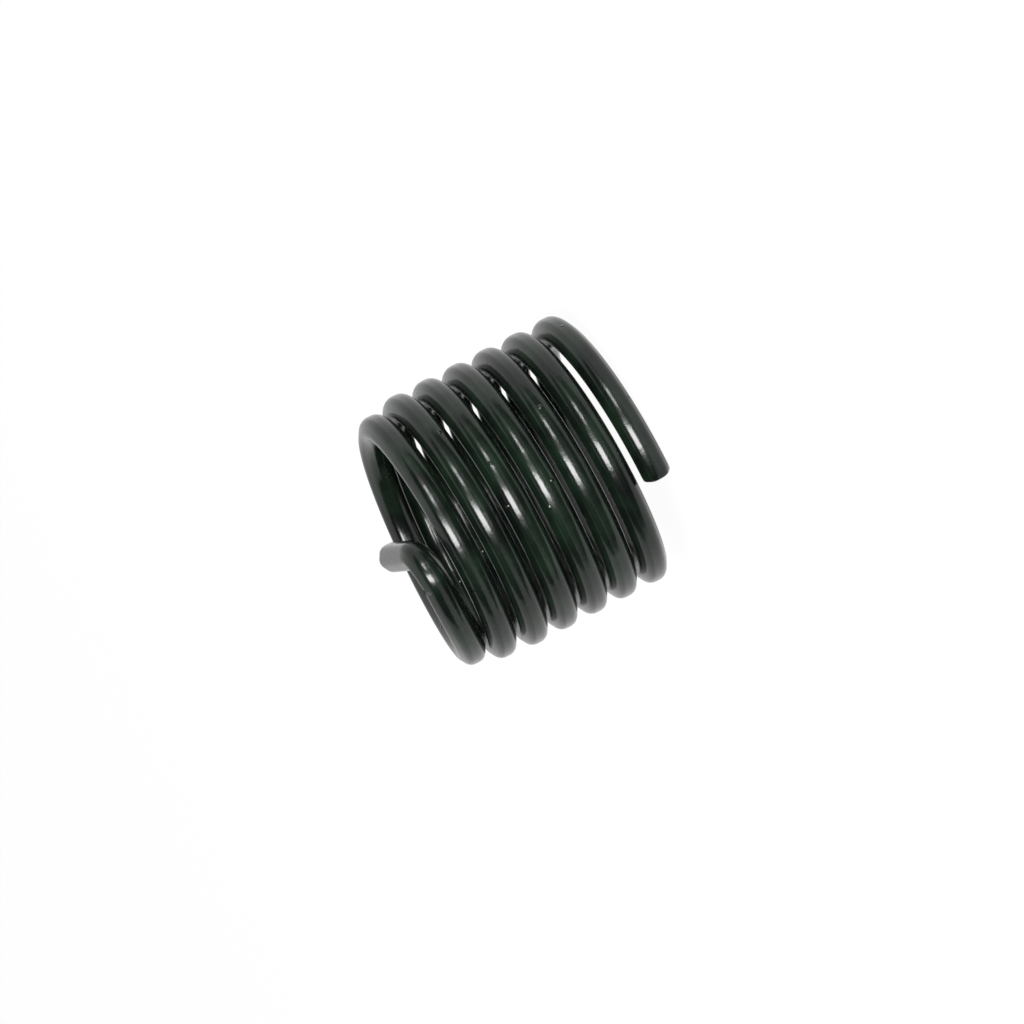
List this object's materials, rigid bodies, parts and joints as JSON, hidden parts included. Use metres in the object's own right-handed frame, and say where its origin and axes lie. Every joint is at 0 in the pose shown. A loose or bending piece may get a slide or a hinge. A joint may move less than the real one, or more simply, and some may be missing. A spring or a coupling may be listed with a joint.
{
  "type": "helical thread insert",
  "caption": "Wire thread insert: a right-hand coil of diamond-section wire that lines a tapped hole, with a driving tang bent across one end.",
  "frame": {"origin": "on the coil's axis, level with the lowest wire of the cut end", "axes": "+Z along the coil's axis towards the tang end, +X towards the root of the tang"},
  "size_m": [0.0106, 0.0106, 0.0107],
  "materials": {
    "coated_wire": "dark, smooth and glossy"
  },
  "bodies": {
    "root": {"insert_coil": "coated_wire"}
  },
  "joints": []
}
